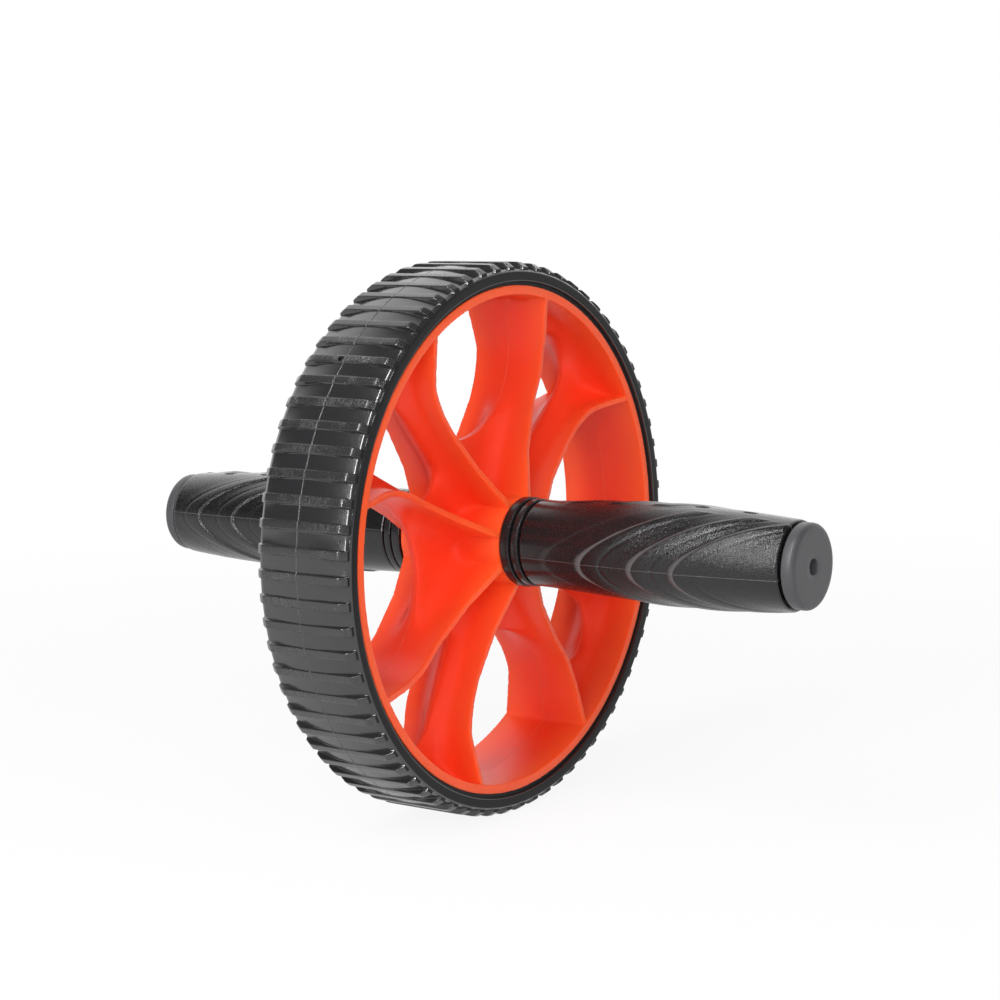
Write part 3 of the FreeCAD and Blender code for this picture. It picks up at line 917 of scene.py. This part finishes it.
class ROLLER_OT_caps(RollerOperator):
    """Round the end caps"""
    bl_idname = "roller.make_end_caps"
    bl_label = "End caps"

    def execute(self, context):
        settings = self.settings(context).handle
        material = plain_plastic("Cap grey", rgba(settings.cap_grey), CAP_WORN,
                                 roughness=0.42, grains=1500.0, depth=0.02 * MM)
        edge = settings.cap_edge
        lip = settings.cap_lip
        hole = settings.cap_hole
        for side, way in SIDES:
            near, far, radius = span_of_node("end_cap_" + side)
            back = far - settings.cap_thickness
            profile = [(hole, far - lip), (hole, near)]
            profile += [(settings.spigot_radius, near), (settings.spigot_radius, back)]
            profile += round_corner((radius - lip, back + lip), lip, -90)
            profile += round_corner((radius - edge, far - edge), edge, 0)
            profile += [(radius * share, far) for share in (0.8, 0.6, 0.4)]
            profile += round_corner((hole + lip, far - lip), lip, 90)[:-1]
            cap = turned_piece("EndCap_" + side, profile, way)
            finish_piece(cap, material, "handlebar", "cap_plastic", "end_cap_" + side)
        return {"FINISHED"}


class ROLLER_OT_inner(RollerOperator):
    """Give the axle, bushes, washers and cores their finishes"""
    bl_idname = "roller.dress_inner_pieces"
    bl_label = "Inner pieces"

    def execute(self, context):
        settings = self.settings(context).handle
        dress_node("axle", steel_material(settings))
        core = plain_plastic("Core black", rgba(settings.black), CORE_WORN,
                             roughness=0.45, grains=1300.0, depth=0.02 * MM)
        nylon = plain_plastic("Bush nylon", rgba(settings.nylon), rgba(settings.nylon, 0.8),
                              roughness=0.4, grains=1000.0, depth=0.01 * MM)
        for side, _ in SIDES:
            dress_node("handle_core_" + side, core)
            dress_node("hub_bush_" + side, nylon)
            dress_node("thrust_washer_" + side, nylon)
        return {"FINISHED"}


class ROLLER_OT_stage(RollerOperator):
    """Set up the floor, the soft light and the camera"""
    bl_idname = "roller.make_stage"
    bl_label = "Stage"

    def area_light(self, name, place, width, height, watts, gloss):
        """Light box aimed at the middle of the wheel, for gloss alone or for matt light alone."""
        lamp = bpy.data.lights.new(name, "AREA")
        lamp.shape = "RECTANGLE"
        lamp.size = width
        lamp.size_y = height
        lamp.energy = watts
        light = bpy.data.objects.new(name, lamp)
        light.location = place
        light.rotation_euler = Vector(place).to_track_quat("Z", "Y").to_euler()
        light.visible_glossy = gloss
        light.visible_diffuse = not gloss
        bpy.context.scene.collection.objects.link(light)

    def white_when_seen(self, made, shade, share, gloss_share=1.0):
        """Mix a shader with plain white for what the camera, gloss and glass see directly."""
        path = made.add("ShaderNodeLightPath").outputs
        gloss = made.math("MULTIPLY", path["Is Glossy Ray"], gloss_share)
        seen = made.math("MAXIMUM", path["Is Camera Ray"], gloss)
        seen = made.math("MAXIMUM", seen, path["Is Transmission Ray"])
        white = made.add("ShaderNodeEmission", Color=WHITE, Strength=1.0)
        mix = made.add("ShaderNodeMixShader", Fac=made.math("MULTIPLY", seen, share))
        made.join(mix.inputs[1], shade)
        made.join(mix.inputs[2], white.outputs[0])
        return mix.outputs[0]

    def make_floor(self):
        """Floor just under the tyre, nearly plain white to the camera, with a faint shadow."""
        bpy.ops.object.select_all(action="DESELECT")
        bpy.ops.mesh.primitive_plane_add(size=FLOOR_SIZE, location=(0, 0, 0))
        floor = bpy.context.object
        floor.name = "Floor"
        for point in floor.data.vertices:
            point.co.z = cad_box[0].z - FLOOR_GAP
        material = bpy.data.materials.new("Floor white")
        made = clear_nodes(material)
        place = made.add("ShaderNodeTexCoord").outputs["Object"]
        cloud = made.add("ShaderNodeTexNoise", Vector=place, Scale=3.0).outputs["Fac"]
        tone = made.blend(cloud, (0.84, 0.84, 0.84, 1.0), (0.86, 0.86, 0.86, 1.0))
        matt = made.add("ShaderNodeBsdfDiffuse", Color=tone)
        away = made.add("ShaderNodeVectorMath", {"operation": "LENGTH"}, Vector=place).outputs["Value"]
        shown = self.white_when_seen(made, matt.outputs[0], made.spread(away, 0.2, 0.7, 0.9, 1.0))
        made.add("ShaderNodeOutputMaterial", Surface=shown)
        floor.data.materials.append(material)

    def make_room(self, scene, settings):
        """World that is white to the camera, soft light to matt faces and a dim room to gloss."""
        scene.world = scene.world or bpy.data.worlds.new("White room")
        made = clear_nodes(scene.world)
        way = made.add("ShaderNodeTexCoord").outputs["Generated"]
        rise = made.add("ShaderNodeSeparateXYZ", Vector=way).outputs["Z"]
        behind = made.add("ShaderNodeVectorMath", {"operation": "DOT_PRODUCT"}, Vector=way)
        behind.inputs[1].default_value = BACKDROP_WAY
        room = made.spread(behind.outputs["Value"], 0.2, 0.6, settings.ceiling, settings.backdrop)
        room = made.math("MAXIMUM", room, made.spread(rise, settings.skirting, 0.0))
        gloss = made.add("ShaderNodeLightPath").outputs["Is Glossy Ray"]
        level = made.math("MULTIPLY_ADD", gloss, made.math("SUBTRACT", room, settings.sky), settings.sky)
        soft = made.add("ShaderNodeBackground", Color=WHITE, Strength=level)
        made.add("ShaderNodeOutputWorld", Surface=self.white_when_seen(made, soft.outputs[0], 1.0, 0.0))

    def make_camera(self, scene, settings):
        """Camera of the photograph."""
        lens = bpy.data.cameras.new("Camera")
        lens.lens = settings.lens
        lens.sensor_width = SENSOR_WIDTH
        camera = bpy.data.objects.new("Camera", lens)
        camera.location = settings.camera_place
        camera.rotation_euler = Euler(settings.camera_turn, "XYZ")
        scene.collection.objects.link(camera)
        scene.camera = camera

    def execute(self, context):
        settings = self.settings(context).stage
        scene = context.scene
        scene.view_settings.view_transform = "Standard"
        self.make_floor()
        self.make_room(scene, settings)
        self.area_light("Left strip", LEFT_LIGHT, 0.09, 1.7, watts=settings.strip_power, gloss=True)
        self.area_light("Left box", LEFT_LIGHT, 0.4, 1.2, watts=settings.left_power, gloss=False)
        self.area_light("Front box", FRONT_LIGHT, 1.2, 1.0, watts=settings.front_power, gloss=False)
        self.make_camera(scene, settings)
        return {"FINISHED"}


class ROLLER_PT_panel(bpy.types.Panel):
    """Sidebar list of the roller's operators"""
    bl_idname = "ROLLER_PT_panel"
    bl_label = "Ab wheel roller"
    bl_space_type = "VIEW_3D"
    bl_region_type = "UI"
    bl_category = "Roller"

    def draw(self, context):
        for operator in OPERATORS:
            self.layout.operator(operator.bl_idname)


OPERATORS = (
    ROLLER_OT_tyre,
    ROLLER_OT_wheel,
    ROLLER_OT_grips,
    ROLLER_OT_rings,
    ROLLER_OT_caps,
    ROLLER_OT_inner,
    ROLLER_OT_stage,
)
CLASSES = (
    RollerTyreSettings,
    RollerWheelSettings,
    RollerGripSettings,
    RollerHandleSettings,
    RollerStageSettings,
    RollerSettings,
) + OPERATORS + (ROLLER_PT_panel,)


def register():
    """Register the classes and keep the settings on the scene."""
    for item in CLASSES:
        bpy.utils.register_class(item)
    bpy.types.Scene.roller_settings = bpy.props.PointerProperty(type=RollerSettings)


def unregister():
    """Undo register."""
    del bpy.types.Scene.roller_settings
    for item in reversed(CLASSES):
        bpy.utils.unregister_class(item)


def main():
    """Build the roller piece by piece."""
    register()
    bpy.ops.roller.make_tyre()
    bpy.ops.roller.make_wheel_centre()
    bpy.ops.roller.make_grips()
    bpy.ops.roller.make_handle_rings()
    bpy.ops.roller.make_end_caps()
    bpy.ops.roller.dress_inner_pieces()
    bpy.ops.roller.make_stage()


if __name__ == "__main__":
    main()
